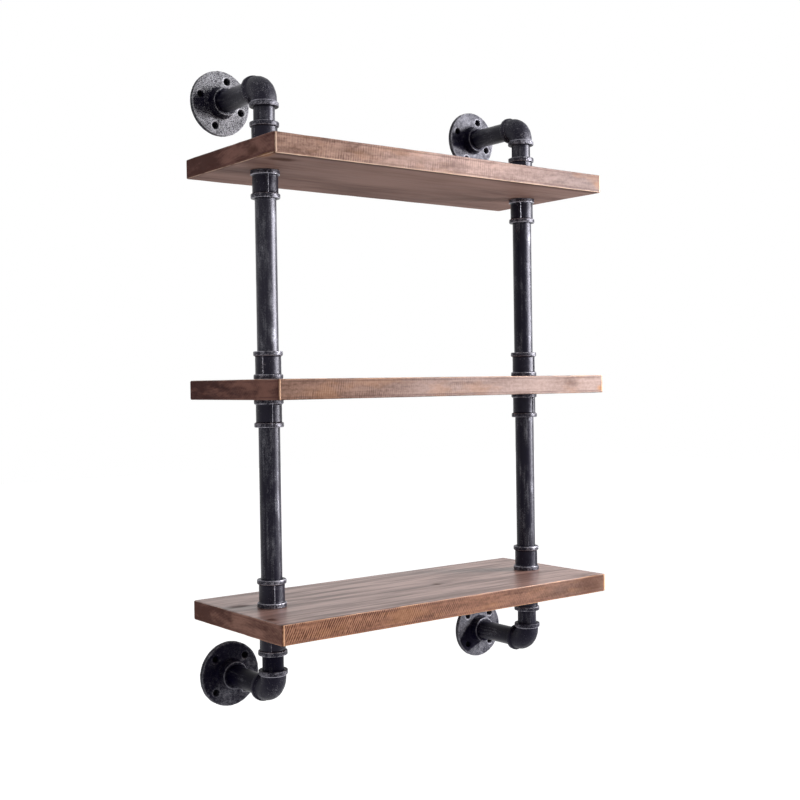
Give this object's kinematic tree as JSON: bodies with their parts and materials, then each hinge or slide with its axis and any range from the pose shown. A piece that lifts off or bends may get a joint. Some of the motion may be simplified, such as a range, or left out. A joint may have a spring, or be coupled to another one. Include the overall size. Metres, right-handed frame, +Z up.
{
  "type": "pipe shelving unit",
  "caption": "Wall-mounted shelving unit: plank shelves clamped between beaded couplings on threaded pipe columns that turn back to round wall flanges.",
  "frame": {"origin": "on the wall plane, midway between the centres of the four wall flanges", "axes": "+X along the boards towards the right end as seen from the front, +Y into the wall, +Z up"},
  "size_m": [0.54, 0.22, 0.8296],
  "materials": {
    "stained_pine": "brown stain, satin, worn pale along the edges",
    "cast_fitting": "black paint over a sand-cast skin, silver brushed on the beads and ribs",
    "brushed_flange": "black paint with silver brushed over the face, dark in the pits",
    "steel_pipe": "black paint, half gloss, faint silver streaks along the pipe"
  },
  "bodies": {
    "root": {"board_top": "stained_pine", "board_middle": "stained_pine", "board_bottom": "stained_pine", "left_coupling_above_top_board": "cast_fitting", "left_coupling_below_top_board": "cast_fitting", "left_coupling_above_middle_board": "cast_fitting", "left_coupling_below_middle_board": "cast_fitting", "left_coupling_above_bottom_board": "cast_fitting", "left_coupling_below_bottom_board": "cast_fitting", "right_coupling_above_top_board": "cast_fitting", "right_coupling_below_top_board": "cast_fitting", "right_coupling_above_middle_board": "cast_fitting", "right_coupling_below_middle_board": "cast_fitting", "right_coupling_above_bottom_board": "cast_fitting", "right_coupling_below_bottom_board": "cast_fitting", "left_top_elbow": "cast_fitting", "left_bottom_elbow": "cast_fitting", "right_top_elbow": "cast_fitting", "right_bottom_elbow": "cast_fitting", "left_top_flange": "brushed_flange", "left_bottom_flange": "brushed_flange", "right_top_flange": "brushed_flange", "right_bottom_flange": "brushed_flange", "left_upper_pipe": "steel_pipe", "left_lower_pipe": "steel_pipe", "right_upper_pipe": "steel_pipe", "right_lower_pipe": "steel_pipe", "left_nipple_in_top_board": "steel_pipe", "left_nipple_in_middle_board": "steel_pipe", "left_nipple_in_bottom_board": "steel_pipe", "right_nipple_in_top_board": "steel_pipe", "right_nipple_in_middle_board": "steel_pipe", "right_nipple_in_bottom_board": "steel_pipe", "left_top_riser_nipple": "steel_pipe", "left_bottom_riser_nipple": "steel_pipe", "right_top_riser_nipple": "steel_pipe", "right_bottom_riser_nipple": "steel_pipe", "left_top_arm_nipple": "steel_pipe", "left_bottom_arm_nipple": "steel_pipe", "right_top_arm_nipple": "steel_pipe", "right_bottom_arm_nipple": "steel_pipe"}
  },
  "joints": []
}
